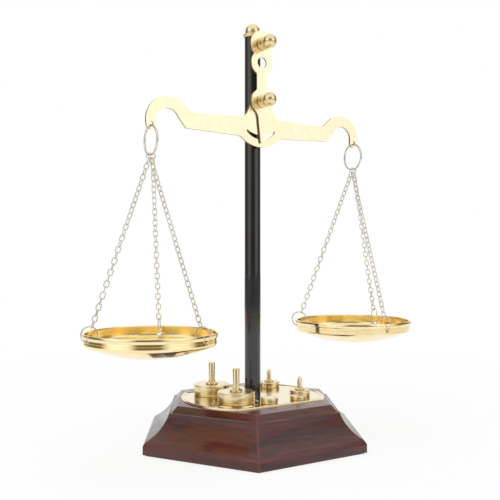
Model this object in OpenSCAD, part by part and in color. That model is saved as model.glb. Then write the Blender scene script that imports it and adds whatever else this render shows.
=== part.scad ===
// Two-pan balance scale on a six-sided moulded wooden base with a brass plate for six weights.
// The origin is the middle of the face it stands on, Z is up, the beam lies along X, front is -Y.

/* [Base] */
// Width of the base across its flats
base_w = 150; // [140:1:180]
// Width of the base's top face across its flats
base_top_w = 105.2; // [100:0.2:110]
// Height of the base with its felt
base_h = 30.6; // [29:0.1:36]
// Height of the upright tier at the foot
tier_h = 6.5; // [5:0.1:7.5]
// Radius of the hollow moulding
cove_r = 32; // [26:0.5:60]
// Thickness of the felt
felt_t = 0.8; // [0.4:0.1:1.5]
// Distance of the felt from the edge of the base
felt_inset = 2; // [1:0.5:6]

/* [Weight plate] */
// Thickness of the plate
plate_t = 0.8; // [0.5:0.1:1.5]
// Width of the plate from front to back
plate_w = 76; // [74:0.5:84]
// Distance of the plate's round edge from the sides of the wood's top
plate_inset = 1.1; // [0.6:0.1:4]
// Width of the raised line round the plate
plate_bead_w = 0.8; // [0.5:0.1:1]
// Height of the raised lines
plate_bead_h = 0.4; // [0.2:0.1:0.8]
// Distance of the raised line from the plate's edge
plate_bead_inset = 1.2; // [0.6:0.1:1.3]
// Gap between the large front weight and the raised ring round it
seat_gap = 2.9; // [0.6:0.1:3]

/* [Post] */
// Diameter of the post
post_d = 11.6; // [10:0.1:14]
// Length of the post above the plate
post_l = 258.6; // [230:0.2:300]
// Diameter of the spigot through the base
spigot_d = 6; // [4:0.1:8]
// Diameter of the spigot's washer
post_washer_d = 15; // [12:0.5:17]
// Width of the spigot's nut across its flats
post_nut_w = 10; // [9:0.5:11.5]
// Diameter of the finial's flange
flange_d = 14; // [12:0.1:17]
// Height of the finial's flange
flange_h = 3.2; // [2:0.1:5]
// Diameter of the finial's ball
finial_ball_d = 10.9; // [9:0.1:13]
// Distance of the hanger bolt below the top of the post
bolt_drop = 7.2; // [5.4:0.1:9]

/* [Hanger] */
// Distance from the hanger bolt to the pivot
pivot_drop = 40.6; // [40:0.2:50]
// Diameter of both bolts
bolt_d = 3.5; // [3:0.1:4]
// Thickness of the strap
strap_t = 1.2; // [0.8:0.1:2]
// Length of the spacer behind the strap
spacer_l = 5.25; // [4:0.05:8]
// Diameter of the spacer
spacer_d = 8; // [6.5:0.1:9]
// Radius of the strap's top lobe
top_lobe_r = 9.4; // [8:0.1:11]
// Radius of the strap's eye lobe
eye_lobe_r = 8.8; // [8:0.1:10]
// Radius of the hole in the eye lobe
eye_hole_r = 3.8; // [3.6:0.1:5]
// Distance of the eye below the hanger bolt
eye_drop = 13.2; // [12.8:0.2:16]
// Width of the strap's neck
neck_w = 8.4; // [7:0.1:11]
// Radius of the strap's lower lobe
low_lobe_r = 8.8; // [8:0.1:10]
// Length of the pointer below the pivot
pointer_l = 29.7; // [27.5:0.1:31]
// Width of the pointer where it leaves the lower lobe
pointer_w = 6.8; // [3:0.1:8]
// Width of the pointer's tip
pointer_tip_w = 2.4; // [1:0.1:3]
// Radius that blends the lower lobe into the pointer
pointer_blend_r = 8; // [1:0.5:12]
// Radius of the strap's inner corners
strap_blend_r = 1.5; // [1:0.1:5]
// Diameter of a knob's ball
knob_ball_d = 9.6; // [8:0.1:11]
// Distance of a knob's ball from the knob's foot
knob_l = 9.8; // [9.5:0.1:13]
// Diameter of a knob's collars
knob_collar_d = 9.2; // [8:0.1:10]

/* [Beam] */
// Thickness of the beam
beam_t = 1.5; // [1:0.1:2]
// Distance from the pivot to each end hole
arm_l = 85.2; // [82:0.2:95]
// Distance of the end holes below the pivot
hole_drop = 23.2; // [22.8:0.1:24]
// Diameter of the end holes
end_hole_d = 3.4; // [3:0.1:3.8]
// Radius of the beam's top lobe
lobe_r = 8.5; // [7.5:0.1:9.5]
// Radius of the beam's round bottom
disc_r = 23.2; // [22:0.1:25]
// Distance of the round bottom's centre below the pivot
disc_drop = 9.2; // [8.5:0.1:10]
// Distance of the arm's top edge below the pivot
arm_top_drop = 12.4; // [11.5:0.1:13]
// Depth of the arm by the round bottom
arm_depth = 13; // [12:0.1:14]
// Depth of the arm by the hook
arm_end_depth = 10.8; // [10:0.1:12]
// Outer radius of the hook
hook_r = 16.5; // [16:0.1:17.5]
// Inner radius of the hook
hook_in_r = 8.6; // [8:0.1:9]
// Radius of the beam's rounded inner corners
blend_r = 5; // [3:0.5:6]
// Length of the crescent slot
slot_l = 23.6; // [20:0.2:26]
// Width of the crescent slot at its middle
slot_w = 3.1; // [2:0.1:3.6]
// Width of the crescent slot at its ends
slot_end_w = 2; // [1:0.1:2.6]

/* [Rings and chains] */
// Mean diameter of the large rings
ring_d = 19.5; // [18:0.1:22]
// Wire diameter of the large rings
ring_wire = 1.4; // [1.1:0.1:1.6]
// Mean length of the connecting links
link_l = 6.2; // [6:0.1:8]
// Mean height of the connecting links
link_h = 3.8; // [3.6:0.1:4.6]
// Wire diameter of the connecting links and the jump rings
link_wire = 0.9; // [0.7:0.1:1]
// Spacing of the three chains on the connecting link
chain_step = 1.3; // [1.2:0.05:1.4]
// Mean length of a chain link
chain_l = 4.7; // [4.5:0.1:5.5]
// Mean width of a chain link
chain_w = 3; // [2.8:0.1:3.4]
// Wire diameter of the chains
chain_wire = 0.7; // [0.5:0.05:0.8]
// Mean diameter of the jump rings
jump_d = 10.8; // [8:0.1:12]
// Height of the connecting links' lower wire above the pans' rims
chain_rise = 112.8; // [100:0.2:115]

/* [Pans] */
// Diameter of the pans
pan_d = 88; // [70:0.5:94]
// Height of the pan's wall
pan_wall_h = 8; // [7:0.1:10]
// Thickness of the pan's sheet
pan_t = 0.8; // [0.6:0.1:1]
// Depth of the dish below the wall
dish_depth = 9.4; // [6:0.1:11]
// Narrowing of the wall from the rim to the dish
pan_taper = 0.8; // [0.4:0.1:1.5]
// Width of the turned band at the rim
rim_band_h = 2.2; // [1.5:0.1:2.6]
// Diameter of the chain holes
chain_hole_d = 2.4; // [2:0.1:2.8]
// Distance of the chain holes below the rim
chain_hole_drop = 5.6; // [4.5:0.1:6.2]

/* [Weights] */
// Diameter of the two large weights
large_d = 26; // [22:0.2:27]
// Height of the large weights
large_h = 7.8; // [6:0.1:10]
// Height of the large weights' stems above the collar
large_stem_h = 14; // [10:0.2:15]
// Diameter of the large weights' stems
large_stem_d = 4.7; // [4:0.1:6]
// Diameter of the large weights' collars
large_collar_d = 8.8; // [7:0.1:11]
// Height of the large weights' collars
large_collar_h = 1.8; // [1:0.1:2.5]
// Diameter of the medium weight at the back
medium_d = 16.2; // [13:0.2:18]
// Height of the medium weight at the back
medium_h = 4; // [3:0.1:5]
// Diameter of the medium weight at the right
lesser_d = 14.6; // [12:0.2:16]
// Height of the medium weight at the right
lesser_h = 4.5; // [3:0.1:5.5]
// Height of the medium weights' stems above the collar
medium_stem_h = 8.2; // [6:0.2:10]
// Diameter of the medium weights' stems
medium_stem_d = 3.5; // [3:0.1:4.5]
// Diameter of the medium weights' collars
medium_collar_d = 7; // [5.5:0.1:8]
// Height of the medium weights' collars
medium_collar_h = 1.4; // [1:0.1:2]
// Diameter of the small weight in front
small_d = 12; // [10:0.2:13]
// Height of the small weight in front
small_h = 3.9; // [3:0.1:5]
// Diameter of the smallest weight
least_d = 11.4; // [9:0.2:12]
// Height of the smallest weight
least_h = 2.8; // [2:0.1:4]
// Place of the large weight at the back
large_back_at = [-22, 20.8]; // [-30:0.5:30]
// Place of the large weight in front
large_front_at = [-22.6, -14.2]; // [-30:0.2:30]
// Place of the medium weight at the back
medium_back_at = [31, 25]; // [-35:0.5:35]
// Place of the medium weight at the right
medium_right_at = [29, -18]; // [-35:0.5:35]
// Place of the small weight in front
small_front_at = [-4, -27.8]; // [-35:0.2:35]
// Place of the smallest weight
least_at = [20.3, -28]; // [-35:0.1:35]

/* [Hidden] */
eps = 0.01;
fine = 96;
round = 48;
wire_round = 24;

// Clearances: a pin in a running bore, a pin in a fixed bore, a moving face, a seat on a round post
run_gap = 0.05;
fit_gap = 0.1;
face_gap = 0.15;
wire_gap = 0.08;

// Moulding of the base, as distances from the axis and heights
tier_a = base_w / 2;
top_a = base_top_w / 2;
chamfer_w = 4;
ledge_w = 1.8;
chamfer_h = 4.2;
band_h = 1.5;
bead_w = 1.8;
bead_h = 2.5;
ledge_a = top_a + chamfer_w;
band_a = ledge_a + ledge_w;
ledge_z = base_h - chamfer_h;
band_z = ledge_z - band_h;
bead_a = tier_a - bead_w;
bead_z = tier_h + bead_h;
cove_steps = 16;
counterbore_d = 18;
counterbore_h = 8;
washer_t = 1;
post_nut_h = 4;
spigot_end = 1;

// Heights
plate_z = base_h;
top_z = plate_z + plate_t;
post_top = top_z + post_l;
bolt_z = post_top - bolt_drop;
pivot_z = bolt_z - pivot_drop;
hole_z = pivot_z - hole_drop;
finial_sink = 4.1;
finial_ball_z = post_top + flange_h + finial_ball_d / 2 - finial_sink;
stud_d = 4;
stud_l = 2.6;
stud_bore_l = 3;

// Distances in front of the post's axis
post_r = post_d / 2;
bolt_r = bolt_d / 2;
spacer_y = -post_r - fit_gap;
strap_back = spacer_y - spacer_l - face_gap;
strap_front = strap_back - strap_t;
pivot_washer_t = 0.35;
beam_front = strap_back + pivot_washer_t + fit_gap;
beam_back = beam_front + beam_t;
beam_y = (beam_front + beam_back) / 2;
pivot_nut_t = 2;
pivot_nut_front = beam_back + fit_gap;
nut_w = 7;
bolt_wall = 2;
bolt_in_knob = 5.6;

// Rings, connecting links and chains
ring_top_z = hole_z - end_hole_d / 2 + ring_wire / 2 + 0.2;
ring_z = ring_top_z - ring_d / 2;
ring_low_z = ring_z - ring_d / 2;
link_top_z = ring_low_z + ring_wire / 2 + link_wire / 2 + face_gap;
bar_z = link_top_z - link_h;
chain_hold = chain_l / 2 - (link_wire + chain_wire) / 2 - wire_gap;
max_pitch = chain_l - chain_wire - wire_gap;
left_angles = [177, 57, -63];
right_angles = [25, 145, -95];
left_offsets = [-1, 1, 0];
right_offsets = [1, -1, 0];
left_turns = [0, 25, 10];
right_turns = [0, 0, 0];

// Pans
pan_r = pan_d / 2;
rim_z = bar_z - chain_rise;
wall_z = rim_z - pan_wall_h;
low_r = pan_r - pan_taper;
pan_bottom = wall_z - dish_depth;
hole_wall_r = pan_r - pan_taper * chain_hole_drop / pan_wall_h - pan_t / 2;
hang_z = rim_z - chain_hole_drop + chain_hole_d / 2 - link_wire / 2 - fit_gap;
groove = 0.25;
rim_lip = 0.5;

// Weights
edge = 0.5;
stem_pin_d = 2.6;
stem_pin_l = 2.2;
// Radius of the raised ring round the large front weight, clear of the small weight beside it
seat_r = min(large_d / 2 + seat_gap,
  norm(large_front_at - small_front_at) - small_d / 2 - plate_bead_w - 0.3);

function arc_r(half, sag) = (half * half + sag * sag) / (2 * sag);
function unit(v) = v / norm(v);
// Turn that is nearest to none, for a shape that looks the same after half a turn
function near_turn(a) = a - 180 * floor(a / 180 + 0.5);
function lean(v) = acos(v[2] / norm(v));
function heading(v) = atan2(v[1], v[0]);
// Wire that a chain hangs from, the turn of its top link on that wire, and the hole that it leads to
function bar_point(side, k) = [side * arm_l
    + (side < 0 ? left_offsets[k] : right_offsets[k]) * chain_step, beam_y, bar_z];
function top_turn(side, k) = side < 0 ? left_turns[k] : right_turns[k];
function pan_angle(side, k) = side < 0 ? left_angles[k] : right_angles[k];
function hang_point(side, k) = [side * arm_l + hole_wall_r * cos(pan_angle(side, k)),
    beam_y + hole_wall_r * sin(pan_angle(side, k)), hang_z];
function chain_up(side, k) = unit(bar_point(side, k) - hang_point(side, k));
function jump_normal(side, k) = unit(cross(chain_up(side, k),
    [cos(pan_angle(side, k)), sin(pan_angle(side, k)), 0]));
// Turn of a link about the chain, so that its flat side faces along v
function link_turn(u, v) = atan2(
    -v * [cos(lean(u)) * cos(heading(u)), cos(lean(u)) * sin(heading(u)), -sin(lean(u))],
    v * [-sin(heading(u)), cos(heading(u)), 0]);

module across_y(y1, y2, r) {
  translate([0, max(y1, y2), 0])
    rotate([90, 0, 0])
      cylinder(r = r, h = abs(y2 - y1), $fn = round);
}

module flat(y_front, t) {
  translate([0, y_front + t, 0])
    rotate([90, 0, 0])
      linear_extrude(t)
        children();
}

module torus(mean_d, wire) {
  rotate_extrude($fn = round)
    translate([mean_d / 2, 0])
      circle(d = wire, $fn = wire_round);
}

module half_link(l, w, wire) {
  translate([0, 0, (l - w) / 2])
    rotate([90, 0, 0])
      rotate_extrude(angle = 180, $fn = round)
        translate([w / 2, 0])
          circle(d = wire, $fn = wire_round);
}

// Oval link in the XZ plane, its length along Z
module oval_link(l, w, wire) {
  half_link(l, w, wire);
  mirror([0, 0, 1])
    half_link(l, w, wire);
  for (s = [-1, 1])
    translate([s * w / 2, 0, -(l - w) / 2])
      cylinder(d = wire, h = l - w, $fn = wire_round);
}

// Points of the hollow between the bead and the band, from the bead up
function cove_points() =
  let (low = [bead_a, bead_z], high = [band_a, band_z], run = high - low)
  let (reach = sqrt(cove_r * cove_r - run * run / 4), away = [run[1], -run[0]] / norm(run))
  let (c = (low + high) / 2 + reach * away)
  let (a = heading(low - c), b = heading(high - c))
  [for (i = [0:cove_steps]) c + cove_r * [cos(a + (b - a) * i / cove_steps), sin(a + (b - a) * i / cove_steps)]];

// Section of the base with its moulding on both sides
module moulding() {
  side = concat([[tier_a, felt_t], [tier_a, tier_h], [tier_a - bead_w * 0.45, tier_h + bead_h * 0.45]],
    cove_points(), [[band_a, ledge_z - 0.4], [ledge_a, ledge_z], [top_a, base_h]]);
  other = [for (i = [len(side) - 1:-1:0]) [-side[i][0], side[i][1]]];
  polygon(concat(side, other));
}

// Long bar with the moulding on both sides; three of them crossed give the six-sided base
module moulding_bar(a) {
  rotate([0, 0, a])
    rotate([90, 0, 90])
      translate([0, 0, -base_w])
        linear_extrude(2 * base_w)
          moulding();
}

module base_block() {
  color("#5a2a24")
    difference() {
      intersection() {
        moulding_bar(0);
        intersection() {
          moulding_bar(60);
          moulding_bar(120);
        }
      }
      cylinder(d = spigot_d + 2 * fit_gap, h = base_h + 1, $fn = round);
      cylinder(d = counterbore_d, h = felt_t + counterbore_h, $fn = round);
    }
}

module felt_pad() {
  color("#2c3a30")
    cylinder(r = (tier_a - felt_inset) / cos(30), h = felt_t, $fn = 6);
}

// Disc with a straight edge in front and at the back
module plate_outline(inset) {
  intersection() {
    circle(r = top_a - plate_inset - inset, $fn = fine);
    square([base_w, plate_w - 2 * inset], center = true);
  }
}

module weight_plate() {
  color("#d9b36a") {
    difference() {
      translate([0, 0, plate_z])
        linear_extrude(plate_t)
          plate_outline(0);
      translate([0, 0, plate_z - 1])
        cylinder(d = spigot_d + 2 * fit_gap, h = plate_t + 2, $fn = round);
    }
    translate([0, 0, top_z - eps])
      linear_extrude(plate_bead_h + eps)
        difference() {
          plate_outline(plate_bead_inset);
          plate_outline(plate_bead_inset + plate_bead_w);
        }
    translate([large_front_at[0], large_front_at[1], top_z - eps])
      difference() {
        cylinder(r = seat_r + plate_bead_w, h = plate_bead_h + eps, $fn = fine);
        translate([0, 0, -1])
          cylinder(r = seat_r, h = plate_bead_h + 2, $fn = fine);
      }
  }
}

module post() {
  color("#17171a")
    difference() {
      union() {
        translate([0, 0, top_z])
          cylinder(d = post_d, h = post_l, $fn = round);
        translate([0, 0, felt_t + counterbore_h - washer_t - post_nut_h - spigot_end])
          cylinder(d = spigot_d, h = top_z - felt_t - counterbore_h + washer_t + post_nut_h + spigot_end + eps,
            $fn = round);
      }
      translate([0, 0, bolt_z])
        across_y(-post_d, post_r - bolt_wall, bolt_r + fit_gap);
      translate([0, 0, post_top - stud_bore_l])
        cylinder(d = stud_d + 2 * fit_gap, h = stud_bore_l + 1, $fn = round);
    }
}

module post_washer() {
  color("#b9b9b4")
    translate([0, 0, felt_t + counterbore_h - washer_t])
      difference() {
        cylinder(d = post_washer_d, h = washer_t, $fn = round);
        translate([0, 0, -1])
          cylinder(d = spigot_d + 2 * fit_gap, h = washer_t + 2, $fn = round);
      }
}

module post_nut() {
  color("#b9b9b4")
    translate([0, 0, felt_t + counterbore_h - washer_t - post_nut_h])
      difference() {
        cylinder(d = post_nut_w / cos(30), h = post_nut_h, $fn = 6);
        translate([0, 0, -1])
          cylinder(d = spigot_d + 2 * run_gap, h = post_nut_h + 2, $fn = round);
      }
}

module finial() {
  color("#e6c67a") {
    translate([0, 0, post_top])
      rotate_extrude($fn = round)
        polygon([[0, 0], [flange_d / 2 - 0.4, 0], [flange_d / 2, 0.5], [flange_d / 2, 1.1],
          [flange_d / 2 - 1.2, 1.6], [flange_d / 2 - 1.2, 2.1], [flange_d / 2 - 2.4, flange_h], [0, flange_h]]);
    difference() {
      translate([0, 0, finial_ball_z])
        sphere(d = finial_ball_d, $fn = round);
      translate([0, 0, post_top + flange_h / 2 - finial_ball_d])
        cylinder(d = 2 * finial_ball_d, h = finial_ball_d, $fn = round);
    }
    translate([0, 0, post_top - stud_l])
      cylinder(d = stud_d, h = stud_l + eps, $fn = round);
  }
}

module hanger_bolt() {
  color("#d9b36a")
    translate([0, 0, bolt_z])
      across_y(strap_front - face_gap - bolt_in_knob, post_r - bolt_wall - face_gap, bolt_r);
}

module hanger_spacer() {
  color("#d9b36a")
    translate([0, 0, bolt_z])
      difference() {
        across_y(spacer_y - spacer_l, spacer_y, spacer_d / 2);
        across_y(spacer_y - spacer_l - 1, spacer_y + 1, bolt_r + run_gap);
      }
}

// Turned knob: a foot, three collars, a neck and a ball, with its foot at y and a blind bore for the bolt
module knob(y) {
  collar_r = knob_collar_d / 2;
  groove_r = collar_r - 0.9;
  foot_r = collar_r - 1.2;
  neck_r = collar_r - 1.5;
  translate([0, y, 0])
    rotate([90, 0, 0])
      difference() {
        union() {
          rotate_extrude($fn = round)
            polygon([[0, 0], [foot_r, 0], [foot_r, 0.8], [collar_r - 0.3, 0.9], [collar_r, 1.2], [collar_r, 1.8],
              [collar_r - 0.3, 2.1], [groove_r, 2.2], [groove_r, 2.5], [collar_r - 0.3, 2.6], [collar_r, 2.9],
              [collar_r, 3.5], [collar_r - 0.3, 3.8], [groove_r, 3.9], [groove_r, 4.2], [collar_r - 0.5, 4.3],
              [collar_r - 0.2, 4.6], [collar_r - 0.2, 5.1], [collar_r - 0.5, 5.4], [neck_r, 5.6],
              [neck_r, knob_l], [0, knob_l]]);
          translate([0, 0, knob_l])
            sphere(d = knob_ball_d, $fn = round);
        }
        translate([0, 0, -1])
          cylinder(r = bolt_r + fit_gap, h = bolt_in_knob + 1.2, $fn = round);
      }
}

module hanger_knob() {
  color("#e6c67a")
    translate([0, 0, bolt_z])
      knob(strap_front - face_gap);
}

module pivot_knob() {
  color("#e6c67a")
    translate([0, 0, pivot_z])
      knob(strap_front);
}

// Lower lobe and pointer seen from the front, measured from the pivot
module pointer_outline() {
  offset(r = -pointer_blend_r, $fn = fine)
    offset(delta = pointer_blend_r)
      union() {
        circle(r = low_lobe_r, $fn = fine);
        hull() {
          translate([-pointer_w / 2, -low_lobe_r])
            square([pointer_w, low_lobe_r]);
          translate([0, pointer_tip_w / 2 - pointer_l])
            circle(d = pointer_tip_w, $fn = round);
        }
      }
}

// Strap and pointer seen from the front, measured from the hanger bolt
module strap_outline() {
  offset(r = -strap_blend_r, $fn = round)
    offset(delta = strap_blend_r)
      union() {
        circle(r = top_lobe_r, $fn = fine);
        translate([0, -eye_drop])
          circle(r = eye_lobe_r, $fn = fine);
        translate([-neck_w / 2, -pivot_drop])
          square([neck_w, pivot_drop - eye_drop]);
        translate([0, -pivot_drop])
          pointer_outline();
      }
}

module hanger_strap() {
  color("#f0d48c")
    difference() {
      translate([0, 0, bolt_z])
        flat(strap_front, strap_t)
          strap_outline();
      translate([0, 0, bolt_z])
        across_y(strap_front - 1, strap_back + 1, bolt_r + run_gap);
      translate([0, 0, bolt_z - eye_drop])
        across_y(strap_front - 1, strap_back + 1, eye_hole_r);
      translate([0, 0, pivot_z])
        across_y(strap_front - 1, strap_back + 1, bolt_r + fit_gap);
    }
}

module pivot_bolt() {
  color("#d9b36a")
    translate([0, 0, pivot_z])
      across_y(strap_front - bolt_in_knob, pivot_nut_front + pivot_nut_t, bolt_r);
}

module pivot_rear_nut() {
  color("#d9b36a")
    translate([0, pivot_nut_front + pivot_nut_t, pivot_z])
      rotate([90, 0, 0])
        difference() {
          cylinder(d = nut_w / cos(30), h = pivot_nut_t, $fn = 6);
          translate([0, 0, -1])
            cylinder(r = bolt_r + run_gap, h = pivot_nut_t + 2, $fn = round);
        }
}

module pivot_washer() {
  color("#d9b36a")
    translate([0, 0, pivot_z])
      difference() {
        across_y(strap_back, strap_back + pivot_washer_t, nut_w / 2);
        across_y(strap_back - 1, strap_back + 2, bolt_r + run_gap);
      }
}

// Half of the beam seen from the front, measured from the pivot, before its hook is opened
module beam_half() {
  end_low = -arm_top_drop - 0.7 - arm_end_depth;
  polygon([[-eps, lobe_r / 2], [lobe_r * 0.8, lobe_r / 2], [lobe_r, -2.6], [lobe_r + 3.5, -arm_top_drop + 2.6],
    [lobe_r + 6, -arm_top_drop + 0.5], [arm_l - 28, -arm_top_drop - 0.7],
    [arm_l - 28, end_low], [lobe_r + 8, -arm_top_drop - arm_depth],
    [-eps, -arm_top_drop - arm_depth]]);
  difference() {
    union() {
      translate([arm_l - 12.7, -hole_drop + 3.1])
        circle(r = hook_r, $fn = 64);
      translate([arm_l - 29, end_low])
        square([14, arm_end_depth]);
      polygon([[arm_l - 29.8, end_low + arm_end_depth], [arm_l - 24.3, -hole_drop + 14.9],
        [arm_l - 20, -hole_drop + 8]]);
    }
    translate([arm_l - 11.9, -hole_drop + 3])
      circle(r = hook_in_r, $fn = round);
    polygon([[arm_l - 17.9, -hole_drop + 8.9], [arm_l - 25.6, end_low], [arm_l - 30, end_low],
      [arm_l - 30, -hole_drop - 20], [arm_l + 10, -hole_drop - 20], [arm_l + 10, -hole_drop],
      [arm_l - 3.3, -hole_drop], [arm_l - 3.3, -hole_drop + 3], [arm_l - 11.9, -hole_drop + 10]]);
  }
  translate([arm_l, -hole_drop])
    circle(r = end_hole_d, $fn = round);
}

module beam_outline() {
  offset(r = -blend_r, $fn = round)
    offset(delta = blend_r)
      union() {
        circle(r = lobe_r, $fn = fine);
        translate([0, -disc_drop])
          intersection() {
            circle(r = disc_r, $fn = fine);
            translate([-disc_r, -disc_r])
              square([2 * disc_r, disc_r - (arm_top_drop - disc_drop) - 1]);
          }
        beam_half();
        mirror([1, 0])
          beam_half();
      }
}

// Crescent window behind the pointer, measured from the pivot
module slot() {
  half = slot_l / 2;
  low = disc_drop + disc_r - 5.4;
  end_low = low - 5.1;
  low_r1 = arc_r(half, low - end_low);
  up_r = arc_r(half, low - slot_w - end_low + slot_end_w);
  difference() {
    intersection() {
      translate([0, -low + low_r1])
        circle(r = low_r1, $fn = fine);
      translate([-half, -low - 1])
        square([slot_l, low]);
    }
    translate([0, -low + slot_w + up_r])
      circle(r = up_r, $fn = fine);
    translate([-half - 1, -end_low + slot_end_w])
      square([slot_l + 2, low]);
  }
}

module beam() {
  color("#f3dc9c")
    translate([0, 0, pivot_z])
      difference() {
        flat(beam_front, beam_t)
          beam_outline();
        flat(beam_front - 1, beam_t + 2)
          slot();
        across_y(beam_front - 1, beam_back + 1, bolt_r + run_gap);
        for (s = [-1, 1])
          translate([s * arm_l, 0, -hole_drop])
            across_y(beam_front - 1, beam_back + 1, end_hole_d / 2);
      }
}

module ring(side) {
  color("#d8c79a")
    translate([side * arm_l, beam_y, ring_z])
      rotate([0, 90, 0])
        torus(ring_d, ring_wire);
}

module connecting_link(side) {
  color("#d8c79a")
    translate([side * arm_l, beam_y, bar_z + link_h / 2])
      rotate([0, 90, 0])
        oval_link(link_l, link_h, link_wire);
}

// Straight chain of oval links, each turned a quarter from the last, with a slow twist that brings
// the end links square to the wires that they hang on
module chain(side, k) {
  u = chain_up(side, k);
  n0 = jump_normal(side, k);
  low = hang_point(side, k) + (jump_d + chain_hold) * u;
  span = norm(bar_point(side, k) - low) - chain_hold;
  count = 1 + ceil(span / max_pitch);
  pitch = span / (count - 1);
  first = link_turn(u, unit(cross(n0, u)));
  last = link_turn(u, [1, 0, 0]) + top_turn(side, k);
  step = 90 + near_turn(last - first - 90 * (count - 1)) / (count - 1);
  color("#d8c79a")
    for (i = [0:count - 1])
      translate(low + i * pitch * u)
        rotate([0, lean(u), heading(u)])
          rotate([0, 0, first + i * step])
            oval_link(chain_l, chain_w, chain_wire);
}

module jump_rings(side) {
  color("#d8c79a")
    for (k = [0:2])
      translate(hang_point(side, k) + jump_d / 2 * chain_up(side, k))
        rotate([0, lean(jump_normal(side, k)), heading(jump_normal(side, k))])
          torus(jump_d, link_wire);
}

// Section of a pan, measured from its axis and from the bottom of the wall
module pan_section() {
  dish_r = arc_r(low_r, dish_depth);
  h = pan_wall_h;
  polygon([[low_r, 0], [low_r + groove, h - rim_band_h - 2.6], [low_r, h - rim_band_h - 2.2],
    [pan_r - rim_lip - groove, h - rim_band_h - 0.5], [pan_r - rim_lip, h - rim_band_h],
    [pan_r - 0.1, h - rim_band_h + 0.3], [pan_r, h - 0.5], [pan_r - 0.2, h],
    [pan_r - pan_t - 0.1, h], [pan_r - pan_t - 0.3, h - rim_band_h],
    [low_r - pan_t, 0.5], [low_r - pan_t, 0]]);
  intersection() {
    difference() {
      translate([0, dish_r - dish_depth])
        circle(r = dish_r, $fn = fine);
      translate([0, dish_r - dish_depth])
        circle(r = dish_r - pan_t, $fn = fine);
    }
    translate([0, -dish_depth - 1])
      square([low_r, dish_depth + 1 + pan_t]);
  }
}

module pan(side) {
  color("#e9c063")
    translate([side * arm_l, beam_y, 0])
      difference() {
        translate([0, 0, wall_z])
          rotate_extrude($fn = fine)
            pan_section();
        for (k = [0:2])
          rotate([0, 0, pan_angle(side, k)])
            translate([hole_wall_r - 3, 0, rim_z - chain_hole_drop])
              rotate([0, 90, 0])
                cylinder(d = chain_hole_d, h = 6, $fn = wire_round);
      }
}

module weight_body(at, d, h, bored) {
  color("#dfb765")
    translate([at[0], at[1], top_z])
      difference() {
        rotate_extrude($fn = round)
          polygon([[0, 0], [d / 2 - edge, 0], [d / 2, edge], [d / 2, h - edge], [d / 2 - edge, h], [0, h]]);
        if (bored)
          translate([0, 0, h - stem_pin_l - fit_gap])
            cylinder(d = stem_pin_d + 2 * fit_gap, h = stem_pin_l + 1, $fn = round);
      }
}

module weight_stem(at, body_h, collar_d, collar_h, d, h) {
  color("#e6c67a")
    translate([at[0], at[1], top_z + body_h]) {
      rotate_extrude($fn = round)
        polygon([[0, 0], [collar_d / 2 - 0.4, 0], [collar_d / 2, 0.4], [collar_d / 2, collar_h * 0.6],
          [d / 2 + 0.5, collar_h], [d / 2, collar_h + 0.5], [d / 2, collar_h + h - 0.5],
          [d / 2 - 0.5, collar_h + h], [0, collar_h + h]]);
      translate([0, 0, -stem_pin_l])
        cylinder(d = stem_pin_d, h = stem_pin_l + eps, $fn = round);
    }
}

base_block();
felt_pad();
weight_plate();
post();
post_washer();
post_nut();
finial();
hanger_bolt();
hanger_spacer();
hanger_knob();
hanger_strap();
pivot_bolt();
pivot_rear_nut();
pivot_washer();
pivot_knob();
beam();
ring(-1);  // left_ring
ring(1);  // right_ring
connecting_link(-1);  // left_link
connecting_link(1);  // right_link
pan(-1);  // left_pan
jump_rings(-1);  // left_jump_rings
chain(-1, 0);  // left_chain_outer
chain(-1, 1);  // left_chain_back
chain(-1, 2);  // left_chain_front
pan(1);  // right_pan
jump_rings(1);  // right_jump_rings
chain(1, 0);  // right_chain_outer
chain(1, 1);  // right_chain_back
chain(1, 2);  // right_chain_front
weight_body(large_back_at, large_d, large_h, true);  // weight_large_back
weight_stem(large_back_at, large_h, large_collar_d, large_collar_h, large_stem_d, large_stem_h);  // weight_large_back_stem
weight_body(large_front_at, large_d, large_h, true);  // weight_large_front
weight_stem(large_front_at, large_h, large_collar_d, large_collar_h, large_stem_d, large_stem_h);  // weight_large_front_stem
weight_body(medium_back_at, medium_d, medium_h, true);  // weight_medium_back
weight_stem(medium_back_at, medium_h, medium_collar_d, medium_collar_h, medium_stem_d, medium_stem_h);  // weight_medium_back_stem
weight_body(medium_right_at, lesser_d, lesser_h, true);  // weight_medium_right
weight_stem(medium_right_at, lesser_h, medium_collar_d, medium_collar_h, medium_stem_d, medium_stem_h);  // weight_medium_right_stem
weight_body(small_front_at, small_d, small_h, false);  // weight_small_front
weight_body(least_at, least_d, least_h, false);  // weight_small_right
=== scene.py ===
import math

import bmesh
import bpy
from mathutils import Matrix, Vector


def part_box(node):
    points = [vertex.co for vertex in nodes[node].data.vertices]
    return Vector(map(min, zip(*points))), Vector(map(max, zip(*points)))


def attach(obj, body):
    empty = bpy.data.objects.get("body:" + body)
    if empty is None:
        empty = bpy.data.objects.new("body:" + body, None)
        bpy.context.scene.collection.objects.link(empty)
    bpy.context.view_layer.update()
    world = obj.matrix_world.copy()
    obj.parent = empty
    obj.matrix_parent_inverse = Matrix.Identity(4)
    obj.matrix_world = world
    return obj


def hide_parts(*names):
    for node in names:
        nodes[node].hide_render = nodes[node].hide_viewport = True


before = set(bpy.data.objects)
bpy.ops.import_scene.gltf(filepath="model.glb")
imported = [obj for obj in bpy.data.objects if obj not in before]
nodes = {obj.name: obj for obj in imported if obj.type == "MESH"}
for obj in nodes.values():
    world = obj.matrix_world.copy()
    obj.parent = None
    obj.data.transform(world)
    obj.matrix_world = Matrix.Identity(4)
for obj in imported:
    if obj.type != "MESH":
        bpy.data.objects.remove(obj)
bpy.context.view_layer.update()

bpy.ops.object.select_all(action="DESELECT")
print("frame loaded,", len(nodes), "nodes")


# camera

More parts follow.
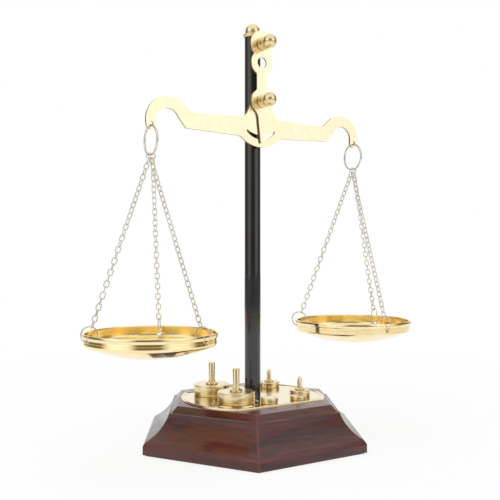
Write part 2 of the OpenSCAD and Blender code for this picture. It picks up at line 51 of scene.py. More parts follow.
cameraLook = {
    "place": (-0.2975, -0.4653, 0.1368),  # metres
    "turn": -32.4,  # degrees about the vertical
    "lens": 55.0,  # millimetres
    "sensor": 36,
    "nearest": 0.01,
}

bpy.ops.object.camera_add(
    location=cameraLook["place"],
    rotation=(math.radians(90), 0, math.radians(cameraLook["turn"])),
)
camera = bpy.context.object
camera.name = "photoCamera"
camera.data.lens = cameraLook["lens"]
camera.data.sensor_width = cameraLook["sensor"]
camera.data.clip_start = cameraLook["nearest"]
bpy.context.scene.camera = camera
bpy.context.scene.view_settings.view_transform = "Standard"
print("camera placed")


# shader maths

class Wire:
    # a value inside a finish, which adds and multiplies like a number
    def __init__(self, finish, socket):
        self.finish = finish
        self.socket = socket

    def maths(self, operation, first, second=0.0):
        return self.finish.node("ShaderNodeMath", {"operation": operation}, {0: first, 1: second})

    def __add__(self, other):
        return self.maths("ADD", self, other)

    def __sub__(self, other):
        return self.maths("SUBTRACT", self, other)

    def __rsub__(self, other):
        return self.maths("SUBTRACT", other, self)

    def __mul__(self, other):
        return self.maths("MULTIPLY", self, other)

    def __pow__(self, other):
        return self.maths("POWER", self, other)

    def least(self, other):
        return self.maths("MINIMUM", self, other)

    def most(self, other):
        return self.maths("MAXIMUM", self, other)


class Finish:
    # a material with its principled shader, filled node by node
    def __init__(self, name, fixed):
        self.material = bpy.data.materials.new(name)
        self.material.use_nodes = True
        self.tree = self.material.node_tree
        self.tree.nodes.clear()
        self.output = self.tree.nodes.new("ShaderNodeOutputMaterial")
        self.shader = self.tree.nodes.new("ShaderNodeBsdfPrincipled")
        self.tree.links.new(self.shader.outputs[0], self.output.inputs["Surface"])
        for socketName, value in fixed.items():
            self.shader.inputs[socketName].default_value = value

    def node(self, kind, settings=None, inputs=None, output=0):
        made = self.tree.nodes.new(kind)
        for key, value in (settings or {}).items():
            setattr(made, key, value)
        for key, value in (inputs or {}).items():
            self.feed(made.inputs[key], value)
        return Wire(self, made.outputs[output])

    def feed(self, socket, value):
        if isinstance(value, Wire):
            self.tree.links.new(value.socket, socket)
        else:
            socket.default_value = value

    def place(self, move=(0, 0, 0), stretch=(1, 1, 1)):
        spot = self.node("ShaderNodeTexCoord", output="Object")
        back = tuple(-c for c in move)
        moved = self.node("ShaderNodeMapping", {"vector_type": "POINT"}, {"Vector": spot, "Location": back})
        return self.node("ShaderNodeMapping", {"vector_type": "POINT"}, {"Vector": moved, "Scale": stretch})

    def parts(self, spot):
        # the x, y and z of a place
        apart = self.node("ShaderNodeSeparateXYZ", {}, {0: spot}).socket.node
        return [Wire(self, socket) for socket in apart.outputs]

    def join(self, x, y, z):
        return self.node("ShaderNodeCombineXYZ", {}, {0: x, 1: y, 2: z})

    def noise(self, where, scale, detail=2.0, roughness=0.5):
        inputs = {"Vector": where, "Scale": scale, "Detail": detail, "Roughness": roughness}
        return self.node("ShaderNodeTexNoise", {}, inputs)

    def soft(self, value, low, high, start=0.0, end=1.0):
        inputs = {"Value": value, "From Min": low, "From Max": high, "To Min": start, "To Max": end}
        return self.node("ShaderNodeMapRange", {"interpolation_type": "SMOOTHSTEP"}, inputs)

    def mix(self, amount, first, second):
        blend = self.node("ShaderNodeMix", {"data_type": "RGBA"}, {0: amount}, 2)
        mixer = blend.socket.node
        self.feed(mixer.inputs[6], first)
        self.feed(mixer.inputs[7], second)
        return blend

    def bump(self, height, strength, distance, under=None):
        inputs = {"Height": height, "Strength": strength, "Distance": distance}
        if under is not None:
            inputs["Normal"] = under
        return self.node("ShaderNodeBump", {}, inputs)

    def wear(self, **sockets):
        for socketName, value in sockets.items():
            self.feed(self.shader.inputs[socketName.replace("_", " ")], value)


noiseSpan = (0.3, 0.7)  # most values of a noise lie between these


def opaque(colour):
    return (*colour, 1)


def dress(names, finish):
    for name in names:
        piece = nodes[name] if isinstance(name, str) else name
        piece.data.materials.clear()
        piece.data.materials.append(finish.material)


# turned, spun and moulded pieces

mm = 0.001  # the pieces' sizes are in millimetres, and the frame is in metres
joinWithin = 0.004  # millimetres between points that a spin leaves on top of each other


def startPiece(name):
    # a new mesh of one point at the origin, open for editing
    bpy.ops.object.select_all(action="DESELECT")
    bpy.ops.mesh.primitive_circle_add(vertices=3, radius=mm, location=(0, 0, 0))
    piece = bpy.context.object
    piece.name = name
    bpy.ops.object.mode_set(mode="EDIT")
    bpy.ops.mesh.select_all(action="SELECT")
    bpy.ops.mesh.merge(type="CENTER")
    return piece


def turned(name, outline, centre, body, node, axis="Z", steps=96, smooth=32):
    # an outline of (radius, height) in millimetres, drawn point by point and spun round the axis
    piece = startPiece(name)
    turnAxis = (0, 0, 1) if axis == "Z" else (0, -1, 0)
    x, y, z = centre
    points = []
    for radius, height in outline:
        rise = height * mm
        points.append(Vector((x + radius * mm, y + turnAxis[1] * rise, z + turnAxis[2] * rise)))
    bpy.ops.transform.translate(value=points[0])
    for before, after in zip(points, points[1:]):
        bpy.ops.mesh.extrude_vertices_move(TRANSFORM_OT_translate={"value": after - before})
    bpy.ops.mesh.select_all(action="SELECT")
    bpy.ops.mesh.spin(steps=steps, angle=math.tau, center=centre, axis=turnAxis)
    bpy.ops.mesh.select_all(action="SELECT")
    bpy.ops.mesh.remove_doubles(threshold=joinWithin * mm)
    bpy.ops.mesh.normals_make_consistent(inside=False)
    bpy.ops.object.mode_set(mode="OBJECT")
    bpy.ops.object.shade_smooth_by_angle(angle=math.radians(smooth))
    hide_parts(node)
    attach(piece, body)
    return piece


def arc(centre, radius, start, end, steps):
    # points on a round stretch, between two angles in degrees
    points = []
    for i in range(steps + 1):
        angle = math.radians(start + (end - start) * i / steps)
        points.append((centre[0] + radius * math.cos(angle), centre[1] + radius * math.sin(angle)))
    return points


def past(radius, height, steps):
    # steps of (out, up), counted from a radius and a height
    return [(radius + out, height + up) for out, up in steps]


def middle(name):
    low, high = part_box(name)
    return tuple((low + high) / 2)


def foot(name):
    low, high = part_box(name)
    return ((low.x + high.x) / 2, (low.y + high.y) / 2, low.z)


# pans, spun from sheet: a dish, a ridged wall and a rim band

panLook = {
    "wallRadius": 43.2,
    "rimRadius": 44.0,
    "wallHeight": 8.0,
    "sheet": 0.8,
    "dishDepth": 9.4,
    "dishSteps": 22,
    "dishMeets": 0.5,  # where the dish ends, in from the wall
    "dishStops": 0.7,  # degrees by which it ends sooner on the inside
    "bead": ((-0.12, 0.18), (0.05, 0.5), (0.12, 0.9), (0.10, 1.25)),  # out from the wall, and up
    "bandIn": 0.05,  # the turned band lies this far in
    "band": (1.4, 1.55, 2.75, 2.9, 3.0, 3.1, 3.2, 3.35, 4.55, 4.7),  # heights of its loops
    "bandMiddle": 3.1,
    "ridgeLoops": (3.0, 3.1),
    "ridge": 0.14,  # how far the fine ridge in the turned band stands out
    "bandLean": {"left": 0.12, "right": 0.0},  # how much the band narrows upward, per millimetre
    "rim": ((-0.35, 4.9), (-0.12, 5.05), (-0.02, 5.35), (0, 6.3), (-0.02, 7.3)),  # out from the rim, and up
    "lip": ((-0.12, -0.3), (-0.34, -0.07), (-0.65, 0), (-1.0, -0.06), (-1.3, -0.25)),  # from the rim's top
    "inside": ((-0.74, 7.3), (-0.74, 4.0), (-0.75, 1.4), (-0.85, 0.95), (-1.15, 0.55)),  # from the wall
    "steps": 144,
    "smooth": 28,
    "holeRadius": 1.2,
    "holeDrop": 5.6,
    "holeAt": 43.0,  # from the pan's middle
    "holeLength": 4.0,
    "holeSteps": 24,
    "holes": {"left": (177, 57, -63), "right": (25, 145, -95)},  # degrees round the pan
}


def panOutline(look, lean):
    wall, depth, steps = look["wallRadius"], look["dishDepth"], look["dishSteps"]
    dish = (wall * wall + depth * depth) / (2 * depth)
    spread = math.degrees(math.asin((wall - look["dishMeets"]) / dish))
    centre = (0, dish - depth)
    under = arc(centre, dish, -90, -90 + spread, steps)
    over = arc(centre, dish - look["sheet"], -90 + spread - look["dishStops"], -90, steps)
    band = []
    for height in look["band"]:
        out = look["ridge"] if height in look["ridgeLoops"] else 0
        band.append((wall - look["bandIn"] + out + lean * (look["bandMiddle"] - height), height))
    rim = past(look["rimRadius"], 0, look["rim"]) + past(look["rimRadius"], look["wallHeight"], look["lip"])
    return under + past(wall, 0, look["bead"]) + band + rim + past(wall, 0, look["inside"]) + over


def drillPan(pan, look, centre, height, degrees, number):
    a, out = math.radians(degrees), look["holeAt"] * mm
    bpy.ops.object.select_all(action="DESELECT")
    bpy.ops.mesh.primitive_cylinder_add(
        vertices=look["holeSteps"],
        radius=look["holeRadius"] * mm,
        depth=look["holeLength"] * mm,
        rotation=(0, math.radians(90), a),
        location=(centre[0] + out * math.cos(a), centre[1] + out * math.sin(a), height),
    )
    drill = bpy.context.object
    cut = pan.modifiers.new("chainHole%d" % number, "BOOLEAN")
    cut.operation = "DIFFERENCE"
    cut.object = drill
    bpy.context.view_layer.objects.active = pan
    bpy.ops.object.modifier_apply(modifier=cut.name)
    bpy.data.objects.remove(drill)


pans = {}
for side in ("left", "right"):
    node = side + "_pan"
    low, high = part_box(node)
    centre = ((low.x + high.x) / 2, (low.y + high.y) / 2, high.z - panLook["wallHeight"] * mm)
    outline = panOutline(panLook, panLook["bandLean"][side])
    pans[node] = turned(side + "SpunPan", outline, centre, node, node,
                        steps=panLook["steps"], smooth=panLook["smooth"])
    for number, degrees in enumerate(panLook["holes"][side]):
        drillPan(pans[node], panLook, centre, high.z - panLook["holeDrop"] * mm, degrees, number)
print("pans spun")


# weights: turned bodies with a fine line, and stems with a collar

weightLook = {
    "edge": 0.55,
    "footEdge": 0.3,  # a point on the rounded foot edge, as a share of it
    "roundNear": 0.12,  # and two points on the rounded top edge
    "roundFar": 0.5,
    "line": 0.14,
    "lineIn": 1.7,
}

stemLook = {
    "large": {"collar": 4.4, "collarHeight": 1.8, "radius": 2.35, "tip": "flat"},
    "medium": {"collar": 3.5, "collarHeight": 1.4, "radius": 1.75, "tip": "pointed"},
    "collarFoot": ((-0.35, 0), (-0.1, 0.12), (0, 0.4)),
    "collarTop": ((0, 0.45), (-0.12, 0.6), (-0.5, 0.72)),  # out, and up as a share of the collar's height
    "neck": ((0.7, 0.8), (0.25, 0.95)),  # the same, but out from the stem
    "neckEnds": ((0.05, 0.5), (0, 1.0)),  # above the collar
    "tips": {
        "flat": ((0, -0.6), (-0.12, -0.3), (-0.4, -0.07), (-0.75, 0)),  # from the top's corner
        "pointed": ((0, -2.6), (-0.2, -2.3), (-1.0, -0.5), (-1.3, -0.12), (-1.55, 0)),
    },
    "steps": 64,
}


def weightOutline(radius, height, look):
    e, line, inset = look["edge"], look["line"], radius - look["lineIn"]
    cut, near, far = look["footEdge"] * e, look["roundNear"] * e, look["roundFar"] * e
    return [(0, 0), (radius - e, 0), (radius - cut, cut), (radius, e), (radius, height - e),
            (radius - near, height - far), (radius - far, height - near), (radius - e, height),
            (inset, height), (inset - line, height - line), (inset - 2 * line, height), (0, height)]


def stemOutline(look, size, height):
    collar, rise, radius = size["collar"], size["collarHeight"], size["radius"]
    return ([(0, 0)] + past(collar, 0, look["collarFoot"])
            + [(collar + out, rise * share) for out, share in look["collarTop"]]
            + [(radius + out, rise * share) for out, share in look["neck"]]
            + past(radius, rise, look["neckEnds"])
            + past(radius, height, look["tips"][size["tip"]]) + [(0, height)])


weights = {
    "weight_large_back": "large_weight_back",
    "weight_large_front": "large_weight_front",
    "weight_medium_back": "medium_weight_back",
    "weight_medium_right": "medium_weight_right",
    "weight_small_front": "small_weight_front",
    "weight_small_right": "small_weight_right",
}
turnedWeights = {}
for node, body in weights.items():
    low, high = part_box(node)
    radius, height = (high.x - low.x) / 2 / mm, (high.z - low.z) / mm
    outline = weightOutline(radius, height, weightLook)
    turnedWeights[node] = turned(node + "Turned", outline, foot(node), body, node)
    stem = node + "_stem"
    if stem in nodes:
        size = stemLook["large" if "large" in node else "medium"]
        outline = stemOutline(stemLook, size, (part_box(stem)[1].z - high.z) / mm)
        seat = (*foot(node)[:2], high.z)
        turnedWeights[stem] = turned(node + "StemTurned", outline, seat, body, stem,
                                     steps=stemLook["steps"])
print("weights turned")


# knobs: a foot, three ridged collars and a ball

knobLook = {
    "ball": 4.8,
    "reach": 9.8,  # from the foot to the ball's middle
    "collar": 4.6,
    "foot": ((-1.25, 0), (-1.2, 0.1), (-1.2, 0.75)),  # out from the collar, and along
    "collars": ((0, 0.85), (0, 2.5), (-0.2, 4.15)),  # how much wider, and where each starts
    "ridge": ((-0.4, 0), (-0.1, 0.12), (0, 0.4), (0, 0.85), (-0.1, 1.12), (-0.4, 1.25)),
    "groove": (-1.0, 1.3, 1.5),  # out from the collar, and where it starts and ends past the ridge
    "neck": (-1.7, 5.6),  # out from the collar, and along
    "ballSteps": 20,
    "steps": 72,
}


def knobOutline(look):
    collar, ball = look["collar"], look["ball"]
    neck = collar + look["neck"][0]
    out, start, end = look["groove"]
    outline = [(0, 0)] + past(collar, 0, look["foot"])
    for wide, low in look["collars"]:
        outline += past(collar + wide, low, look["ridge"])
        outline += [(collar + out, low + start), (collar + out, low + end)]
    outline[-1] = (neck, look["neck"][1])
    meets = math.degrees(math.asin(-(ball * ball - neck * neck) ** 0.5 / ball))
    return outline + arc((0, look["reach"]), ball, meets, 90, look["ballSteps"])


turnedKnobs = {}
for node, body in (("hanger_knob", "stand"), ("pivot_knob", "hanger")):
    low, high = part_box(node)
    seat = ((low.x + high.x) / 2, high.y, (low.z + high.z) / 2)
    turnedKnobs[node] = turned(node + "Turned", knobOutline(knobLook), seat, body, node,
                               axis="Y", steps=knobLook["steps"])


# finial: a flange and a ball

finialLook = {
    "flange": 7.0,
    "edge": ((-0.75, 0), (-0.6, 0.15), (-0.5, 0.55), (-0.15, 0.85), (0, 1.2), (0, 1.7), (-0.15, 2.05),
             (-0.6, 2.35), (-1.3, 2.55), (-2.0, 2.9)),  # out from the flange, and up
    "ball": 5.45,
    "ballHeight": 4.55,
    "ballFrom": -15,  # degrees
    "ballSteps": 16,
}


def finialOutline(look):
    ball = arc((0, look["ballHeight"]), look["ball"], look["ballFrom"], 90, look["ballSteps"])
    return [(0, 0)] + past(look["flange"], 0, look["edge"]) + ball


postTop = (0, 0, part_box("post")[1].z)
outline = finialOutline(finialLook)
turnedKnobs["finial"] = turned("finialTurned", outline, postTop, "stand", "finial")
print("knobs and finial turned")


# moulded base: a six-sided ring raised and drawn in step by step, with its edges rounded

baseLook = {
    "foot": [(75.0, 0.8), (75.0, 6.5), (74.2, 7.6), (73.2, 9.0)],  # half the width, and the height
    "cove": {"centre": (87.83, 37.46), "radius": 32.0, "start": -117.2, "end": -156.9, "steps": 14},
    "top": [(58.4, 26.0), (56.6, 26.4), (52.6, 30.6)],
    "round": 0.45,
    "roundSteps": 3,
    "sharp": 17,  # edges that turn by more degrees than this are rounded
    "smooth": 30,
}


def mouldedBase(look):
    profile = look["foot"] + arc(**look["cove"])[1:] + look["top"]
    corner = 1 / math.cos(math.radians(30))
    bpy.ops.object.select_all(action="DESELECT")
    bpy.ops.mesh.primitive_circle_add(
        vertices=6,
        radius=profile[0][0] * mm * corner,
        fill_type="NGON",
        location=(0, 0, profile[0][1] * mm),
        rotation=(0, 0, math.radians(30)),
    )
    piece = bpy.context.object
    piece.name = "mouldedBase"
    bpy.ops.object.transform_apply(location=True, rotation=True, scale=True)
    bpy.ops.object.mode_set(mode="EDIT")
    bpy.ops.mesh.select_all(action="SELECT")
    for (wide, low), (narrow, high) in zip(profile, profile[1:]):
        shrink = narrow / wide
        bpy.ops.mesh.extrude_region_move(TRANSFORM_OT_translate={"value": (0, 0, (high - low) * mm)})
        bpy.ops.transform.resize(value=(shrink, shrink, 1), center_override=(0, 0, high * mm))
    bpy.ops.mesh.select_all(action="SELECT")
    bpy.ops.mesh.normals_make_consistent(inside=False)
    bpy.ops.mesh.select_all(action="DESELECT")
    mesh = bmesh.from_edit_mesh(piece.data)
    for edge in mesh.edges:
        edge.select = len(edge.link_faces) == 2 and edge.calc_face_angle() > math.radians(look["sharp"])
    bmesh.update_edit_mesh(piece.data)
    bpy.ops.mesh.bevel(offset=look["round"] * mm, segments=look["roundSteps"], profile=0.5, affect="EDGES",
                       clamp_overlap=True)
    bpy.ops.object.mode_set(mode="OBJECT")
    bpy.ops.object.shade_smooth_by_angle(angle=math.radians(look["smooth"]))
    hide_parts("base_block")
    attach(piece, "stand")
    return piece


woodBase = mouldedBase(baseLook)
print("base moulded")


# sheet parts: eased edges on the beam and the strap

sheetLook = {"joined": 0.002, "eased": 0.18, "steps": 2, "sharp": 50}

for name in ("beam", "hanger_strap"):
    weld = nodes[name].modifiers.new("joinedFaces", "WELD")
    weld.merge_threshold = sheetLook["joined"] * mm
    ease = nodes[name].modifiers.new("easedEdges", "BEVEL")
    ease.width = sheetLook["eased"] * mm
    ease.segments = sheetLook["steps"]
    ease.limit_method = "ANGLE"
    ease.angle_limit = math.radians(sheetLook["sharp"])
print("sheet edges eased")


# brass

brassLook = {
    "sheet": {"light": (0.97, 0.88, 0.62), "deep": (0.95, 0.83, 0.55), "rough": 0.20, "spread": 0.06,
              "lines": "brushed", "scale": 2600, "stretch": (0.03, 1, 1)},
    "plate": {"light": (0.91, 0.81, 0.57), "deep": (0.86, 0.73, 0.48), "rough": 0.14, "spread": 0.10,
              "lines": "brushed", "scale": 2000, "stretch": (1, 0.05, 1)},
    "wire": {"light": (0.86, 0.84, 0.79), "deep": (0.72, 0.67, 0.57), "rough": 0.20, "spread": 0.12,
             "lines": "plain", "scale": 2200, "depth": 0.00002},
    "pan": {"light": (0.995, 0.87, 0.54), "deep": (0.99, 0.77, 0.36), "rough": 0.12, "spread": 0.06,
            "lines": "turned", "scale": 1500, "depth": 0.00002},
    "weight": {"light": (0.91, 0.79, 0.52), "deep": (0.85, 0.69, 0.40), "rough": 0.27, "spread": 0.08,
               "lines": "turned", "scale": 2600, "dent": 0.02},
    "knob": {"light": (0.95, 0.82, 0.54), "deep": (0.88, 0.70, 0.40), "rough": 0.26, "spread": 0.08,
             "lines": "turned", "scale": 2600},
}
brassLook["strap"] = {**brassLook["sheet"], "stretch": (1, 1, 0.03)}
brassLook["bolt"] = {**brassLook["knob"], "scale": 3000}

metalLook = {
    "depth": 0.00001,  # of the fine lines, in metres
    "dent": 0.04,
    "dentDepth": 0.0004,
    "stretch": (1, 1, 1),
    "cloud": (38, 3, 0.55),  # scale, detail and roughness of a noise
    "smudge": (190, 4, 0.6),
    "grime": (900, 3, 0.65),
    "spiral": 1.3,  # how fast the turned lines change along the axis
    "lineStrength": 0.35,
    "shadeFrom": (0.36, 0.66),  # the colour goes from light to deep between these
    "spotFrom": (0.68, 0.76),
    "spots": 0.22,
    "spotTint": (0.62, 0.5, 0.45),
    "punchedEdgeAndShade": (0.30, 0.20, 0.09),  # the cut edge of a sheet: darker for its unpolished metal, and partly painted shade for the shadow in the gaps
    "edgeShadeShare": 0.85,
    "punchedRough": 0.25,
    "punchedFrom": 0.10,  # millimetres from the face
    "punchedTo": 0.02,
}


def metalLines(finish, look, spot, centre, axis):
    # fine marks: rings round an axis, long strokes, or plain grain
    if look["lines"] == "turned":
        parts = dict(zip("XYZ", finish.parts(spot)))
        along = parts.pop(axis)
        first, second = parts.values()
        radius = (first * first + second * second) ** 0.5
        rings = radius + along * look["spiral"]
        inputs = {"W": rings, "Scale": look["scale"], "Detail": 3.0, "Roughness": 0.6}
        return finish.node("ShaderNodeTexNoise", {"noise_dimensions": "1D"}, inputs)
    if look["lines"] == "brushed":
        return finish.noise(finish.place(centre, look["stretch"]), look["scale"], 4, 0.6)
    return finish.noise(spot, look["scale"], 3, 0.6)


def shadedCutEdge(finish, look, faces):
    # 1 on the cut edge between a sheet's two faces, and 0 on the faces; the edge gets a dark colour there,
    # partly painted shade
    front, back = faces
    fromMiddle = finish.parts(finish.place())[1] - (front + back) / 2
    away = fromMiddle.maths("ABSOLUTE", fromMiddle)
    half = (back - front) / 2
    return finish.soft(away, half - look["punchedFrom"] * mm, half - look["punchedTo"] * mm, 1.0, 0.0)


def brass(name, kind, centre=(0, 0, 0), axis="Z", faces=None):
    look = {**metalLook, **brassLook[kind]}
    finish = Finish(name, {"Metallic": 1.0, "Specular IOR Level": 0.5})
    spot = finish.place(centre)
    cloud, smudge, grime = (finish.noise(spot, *look[layer]) for layer in ("cloud", "smudge", "grime"))
    groove = metalLines(finish, look, spot, centre, axis)
    shade = finish.soft(cloud * 0.6 + smudge * 0.4, *look["shadeFrom"])
    tint = finish.mix(shade, opaque(look["light"]), opaque(look["deep"]))
    spots = finish.soft(grime, *look["spotFrom"], 0.0, look["spots"])
    tint = finish.mix(spots, tint, opaque(c * share for c, share in zip(look["deep"], look["spotTint"])))
    half = look["spread"] / 2
    rough = finish.soft(smudge * 0.7 + groove * 0.3, *noiseSpan, look["rough"] - half, look["rough"] + half)
    if faces:
        # the cut edge painted dark brown: partly its unpolished metal, partly painted shade for the gaps'
        # shadow and the dark the edges mirror
        punchedEdgeAndShade = shadedCutEdge(finish, look, faces)
        tint = finish.mix(punchedEdgeAndShade * look["edgeShadeShare"], tint, opaque(look["punchedEdgeAndShade"]))
        rough = finish.soft(punchedEdgeAndShade, 0.0, 1.0, 0.0, look["punchedRough"]) + rough
    fine = finish.bump(groove, look["lineStrength"], look["depth"])
    dents = finish.bump(cloud, look["dent"], look["dentDepth"], fine)
    finish.wear(Base_Color=tint, Roughness=rough, Normal=dents)
    return finish


def sheetFaces(name):
    # where a sheet's front and back lie along Y
    low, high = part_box(name)
    return low.y, high.y


wires = [name for name in nodes if "chain" in name or "ring" in name or "link" in name]
bolts = ["hanger_bolt", "hanger_spacer", "pivot_bolt", "pivot_rear_nut", "pivot_washer"]
dress(["beam"], brass("polishedSheetBrass", "sheet", faces=sheetFaces("beam")))
dress(["hanger_strap"], brass("polishedStrapBrass", "strap", faces=sheetFaces("hanger_strap")))
dress(bolts, brass("turnedBoltBrass", "bolt", axis="Y"))
dress(wires, brass("drawnWireBrass", "wire"))
dress(["weight_plate"], brass("polishedPlateBrass", "plate"))
for name, piece in turnedWeights.items():
    dress([piece, name], brass(name + "Brass", "weight", middle(name)))
for name, piece in turnedKnobs.items():
    dress([piece, name], brass(name + "Brass", "knob", middle(name), "Z" if name == "finial" else "Y"))
for name, piece in pans.items():
    dress([piece, name], brass(name + "Brass", "pan", middle(name)))
print("brass dressed")


# black post

postLook = {
    "black": (0.008, 0.008, 0.009),
    "speck": (0.05, 0.05, 0.052),
    "dust": (2600, 2, 0.6),  # scale, detail and roughness of a noise
    "speckFrom": (0.70, 0.78),
    "haze": (160, 3, 0.6),
    "hazeStretch": (1, 1, 0.1),
    "rough": (0.14, 0.26),
    "peel": (420, 2, 0.5),
    "peelBump": (0.05, 0.0001),  # strength, and depth in metres
}


def blackEnamel(look):
    finish = Finish("blackEnamel", {"Specular IOR Level": 0.3, "Coat Roughness": 0.03, "Coat IOR": 1.5})
    spot = finish.place()
    specks = finish.soft(finish.noise(spot, *look["dust"]), *look["speckFrom"])
    tint = finish.mix(specks, opaque(look["black"]), opaque(look["speck"]))
    haze = finish.noise(finish.place(stretch=look["hazeStretch"]), *look["haze"])
    rough = finish.soft(haze, *noiseSpan, *look["rough"])
    waves = finish.bump(finish.noise(spot, *look["peel"]), *look["peelBump"])
    finish.wear(Base_Color=tint, Roughness=rough, Coat_Weight=1.0, Normal=waves)
    return finish


dress(["post"], blackEnamel(postLook))


# stained wood: grain along each of the six sides, paler at the corners and on the foot's bead, partly worn
# stain and partly painted highlight

woodLook = {
    "dark": (0.030, 0.009, 0.008),
    "red": (0.100, 0.018, 0.013),
    "pore": (0.014, 0.006, 0.005),
    # the paler red of the corners and the bead: partly worn stain, partly painted highlight
    "edge": (0.15, 0.040, 0.036),
    "warp": (30, 3, 0.5),  # scale, detail and roughness of a noise
    "fibre": (420, 6, 0.62),
    "streak": (90, 4, 0.55),
    "grainFrom": (0.40, 0.62),
    "grainStretch": 0.10,  # along each side
    "apart": 0.3,  # moves the grain from side to side, so that neighbours look different
    "pores": (1700, 2, 0.5),
    "poreFrom": (0.60, 0.70),
    "poreStretch": 0.06,
    "poreShare": 0.55,
    "ragged": (260, 4, 0.6),
    "mitre": (0.0006, 0.0014),  # about how far from a corner the paler line, partly worn stain and partly painted highlight, fades, in metres
    "mitreRagged": 0.0008,
    "mitreShare": 0.5,
    "bead": (0.0064, 0.0080, 0.0086, 0.0102),  # heights where the paler bead, partly worn stain and partly painted highlight, starts and fades
    "beadRagged": 0.0010,
    "beadShare": 0.35,
    "polish": (120, 4, 0.6),
    "rough": (0.28, 0.42),
    "coat": 0.55,
    "ripple": (75, 2, 0.5),
    "rippleBump": (0.18, 0.0012),  # strength, and depth in metres
    "fibreBump": (0.12, 0.0002),
}


def woodSides(finish, look):
    # the distance outward on the nearest side and on the next, the distance along the side, and the height
    x, y, z = finish.parts(finish.place())
    outward = [(math.cos(math.radians(a)), math.sin(math.radians(a))) for a in (90, 30, 150)]
    sides = []
    for c, d in outward:
        side = x * c + y * d
        sides.append(side.maths("ABSOLUTE", side))
    first, least = sides[0].most(sides[1]), sides[0].least(sides[1])
    nearest = first.most(sides[2])
    following = least.most(first.least(sides[2]))
    along = 0.0
    for side, (c, d) in zip(sides, outward):
        here = side.maths("GREATER_THAN", side, nearest - 0.00001)
        along = here * (y * c - x * d + c * look["apart"]) + along
    return nearest, following, along, z


def stainedWood(look):
    finish = Finish("stainedWood", {"Specular IOR Level": 0.3, "Coat Roughness": 0.10, "Coat IOR": 1.5})
    nearest, following, along, z = woodSides(finish, look)
    spot = finish.join(along * look["grainStretch"], nearest, z)
    warp, fibre, streak = (finish.noise(spot, *look[layer]) for layer in ("warp", "fibre", "streak"))
    grain = finish.soft(fibre * 0.45 + streak * 0.35 + warp * 0.2, *look["grainFrom"])
    tint = finish.mix(grain, opaque(look["dark"]), opaque(look["red"]))
    pore = finish.noise(finish.join(along * look["poreStretch"], nearest, z), *look["pores"])
    pores = finish.soft(pore, *look["poreFrom"], 0.0, look["poreShare"])
    tint = finish.mix(pores, tint, opaque(look["pore"]))
    ragged = finish.noise(finish.place(), *look["ragged"])
    # paler corners and bead: partly worn stain, partly painted highlight along the rounded edges
    mitre = finish.soft(nearest - following + ragged * look["mitreRagged"], *look["mitre"], 1.0, 0.0)
    height = z + ragged * look["beadRagged"]
    bead = finish.soft(height, *look["bead"][:2]) * finish.soft(height, *look["bead"][2:], 1.0, 0.0)
    wornAndHighlit = (mitre * look["mitreShare"]).most(bead * look["beadShare"])
    tint = finish.mix(wornAndHighlit, tint, opaque(look["edge"]))
    rough = finish.soft(finish.noise(finish.place(), *look["polish"]), *noiseSpan, *look["rough"])
    ripple = finish.bump(finish.noise(finish.place(), *look["ripple"]), *look["rippleBump"])
    fibres = finish.bump(fibre, *look["fibreBump"], ripple)
    finish.wear(Base_Color=tint, Roughness=rough, Coat_Weight=look["coat"], Normal=fibres)
    return finish


dress([woodBase, "base_block"], stainedWood(woodLook))


# felt and plated steel

feltLook = {
    "dark": (0.020, 0.030, 0.022),
    "light": (0.060, 0.085, 0.062),
    "fuzz": (3200, 4, 0.7),  # scale, detail and roughness of a noise
    "cloud": (90, 3, 0.5),
    "shadeFrom": (0.35, 0.65),
    "rough": (0.86, 0.98),
    "fuzzBump": (0.6, 0.0004),  # strength, and depth in metres
}

steelLook = {
    "light": (0.62, 0.62, 0.60),
    "dark": (0.46, 0.46, 0.45),
    "grain": (1800, 4, 0.6),
    "shadeFrom": (0.35, 0.65),
    "rough": (0.28, 0.42),
    "grainBump": (0.2, 0.00003),
}


def greenFelt(look):
    finish = Finish("darkFelt", {"Sheen Weight": 0.3, "Specular IOR Level": 0.2})
    fuzz, cloud = (finish.noise(finish.place(), *look[layer]) for layer in ("fuzz", "cloud"))
    shade = finish.soft(fuzz * 0.7 + cloud * 0.3, *look["shadeFrom"])
    tint = finish.mix(shade, opaque(look["dark"]), opaque(look["light"]))
    rough = finish.soft(fuzz, *noiseSpan, *look["rough"])
    finish.wear(Base_Color=tint, Roughness=rough, Normal=finish.bump(fuzz, *look["fuzzBump"]))
    return finish


def platedSteel(look):
    finish = Finish("platedSteel", {"Metallic": 1.0})
    grain = finish.noise(finish.place(), *look["grain"])
    shade = finish.soft(grain, *look["shadeFrom"])
    tint = finish.mix(shade, opaque(look["light"]), opaque(look["dark"]))
    rough = finish.soft(grain, *noiseSpan, *look["rough"])
    finish.wear(Base_Color=tint, Roughness=rough, Normal=finish.bump(grain, *look["grainBump"]))
    return finish


dress(["felt_pad"], greenFelt(feltLook))
dress(["post_washer", "post_nut"], platedSteel(steelLook))
print("wood, felt, post and steel dressed")


# floor

floorLook = {
    "size": 6,  # metres, as are all its distances
    "pale": (0.79, 0.79, 0.79),
    "paler": (0.81, 0.81, 0.81),
    "grit": (40, 3, 0.5),
    "shown": 0.86,  # how much of the floor near the scale is seen as plain white
    "near": 0.12,
    "far": 0.60,  # from here on the floor is all white
    "tableEnds": (0.7, 1.5),  # mirrored in the scale, the floor dims between these distances
    "beyond": 0.30,  # how bright it stays past them
}


def seenRay(finish):
    # two switches: one for camera rays, and one for these with mirrored rays and rays through glass
    path = finish.node("ShaderNodeLightPath").socket.node
    names = ("Is Camera Ray", "Is Glossy Ray", "Is Transmission Ray")
    direct, glossy, through = (Wire(finish, path.outputs[name]) for name in names)
    return direct, direct.most(glossy.most(through))


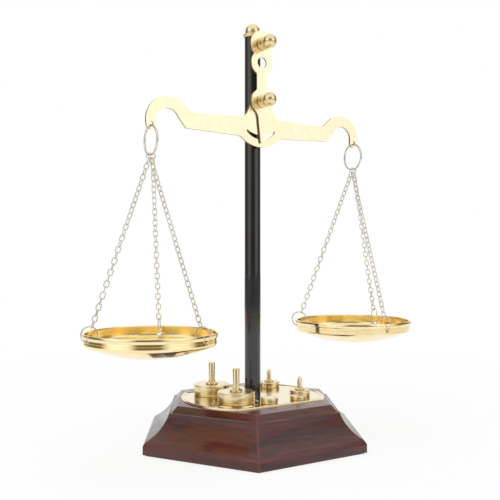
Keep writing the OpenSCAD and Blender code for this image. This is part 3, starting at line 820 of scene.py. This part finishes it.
def paleFloor(look):
    finish = Finish("paleFloor", {"Roughness": 0.9, "Specular IOR Level": 0.1})
    grit = finish.noise(finish.place(), *look["grit"])
    finish.wear(Base_Color=finish.mix(grit, opaque(look["pale"]), opaque(look["paler"])))
    direct, seen = seenRay(finish)
    away = finish.node("ShaderNodeVectorMath", {"operation": "LENGTH"}, {0: finish.place()}, "Value")
    shown = finish.soft(away, look["near"], look["far"], look["shown"], 1.0)
    beyond = finish.soft(away, *look["tableEnds"], 0.0, 1.0 - look["beyond"])
    white = finish.mix(beyond * (1.0 - direct), (1, 1, 1, 1), (0, 0, 0, 1))
    glow = finish.node("ShaderNodeEmission", {}, {"Color": white, "Strength": 1.0})
    lit = Wire(finish, finish.shader.outputs[0])
    both = finish.node("ShaderNodeMixShader", {}, {0: seen * shown, 1: lit, 2: glow})
    finish.tree.links.new(both.socket, finish.output.inputs["Surface"])
    return finish


bpy.ops.mesh.primitive_plane_add(size=floorLook["size"], location=(0, 0, 0))
floor = bpy.context.object
floor.name = "paleFloor"
dress([floor], paleFloor(floorLook))


# room: a dim side behind the camera, a white backdrop, a lit ceiling and two soft boxes

def aim(around, up):
    # direction from degrees round the post (0 in front, 90 at the right) and degrees up
    a, e = math.radians(around), math.radians(up)
    return (math.sin(a) * math.cos(e), -math.cos(a) * math.cos(e), math.sin(e))


roomLook = {
    "dim": 0.19,  # the unlit side, behind the camera
    "dimTint": (1.0, 0.76, 0.52),
    "tinted": (0.2, 0.9),  # the tint fades between these levels
    "glows": {
        "backdrop": {"toward": aim(147, 10), "inner": 28, "outer": 56, "level": 1.0},
        "ceiling": {"toward": aim(-32, 80), "inner": 40, "outer": 70, "level": 0.95},
        "rightBox": {"toward": aim(26, 17), "inner": 6, "outer": 42, "level": 1.18},
        "leftBox": {"toward": aim(-83, 17), "inner": 12, "outer": 42, "level": 1.15},
    },
}


class Room(Finish):
    # the world, filled node by node like a finish
    def __init__(self, name):
        self.world = bpy.data.worlds.new(name)
        self.world.use_nodes = True
        self.tree = self.world.node_tree
        self.tree.nodes.clear()
        self.output = self.tree.nodes.new("ShaderNodeOutputWorld")
        bpy.context.scene.world = self.world

    def glow(self, toward, inner, outer, level):
        ray = self.node("ShaderNodeTexCoord", output="Generated")
        inputs = {0: ray, 1: toward}
        facing = self.node("ShaderNodeVectorMath", {"operation": "DOT_PRODUCT"}, inputs, "Value")
        return self.soft(facing, math.cos(math.radians(outer)), math.cos(math.radians(inner)), 0.0, level)


def whiteRoom(look):
    room = Room("whiteRoom")
    glows = [room.glow(**glow) for glow in look["glows"].values()]
    level = glows[0]
    for glow in glows[1:]:
        level = level.most(glow)
    level = level.most(look["dim"])
    warmth = room.mix(room.soft(level, *look["tinted"]), opaque(look["dimTint"]), (1, 1, 1, 1))
    studio = room.node("ShaderNodeBackground", {}, {"Color": warmth, "Strength": level})
    white = room.node("ShaderNodeBackground", {}, {"Color": (1, 1, 1, 1), "Strength": 1.0})
    sky = room.node("ShaderNodeMixShader", {}, {0: seenRay(room)[0], 1: studio, 2: white})
    room.tree.links.new(sky.socket, room.output.inputs["Surface"])


whiteRoom(roomLook)


# lamps

lamps = {
    "keyLamp": {"place": (-0.70, -0.60, 0.80), "aim": (0, 0, 0.12), "size": (0.5, 0.5), "watts": 3.0},
    "topLamp": {"place": (0.05, 0.20, 1.05), "aim": (0, 0, 0.1), "size": (0.8, 0.8), "watts": 3.0},
}
for lampName, lamp in lamps.items():
    bpy.ops.object.light_add(type="AREA", location=lamp["place"])
    light = bpy.context.object
    light.name = lampName
    light.data.shape = "RECTANGLE"
    light.data.size, light.data.size_y = lamp["size"]
    light.data.energy = lamp["watts"]
    light.visible_glossy = False
    toward = Vector(lamp["aim"]) - Vector(lamp["place"])
    light.rotation_euler = toward.to_track_quat("-Z", "Y").to_euler()
print("stage lit")
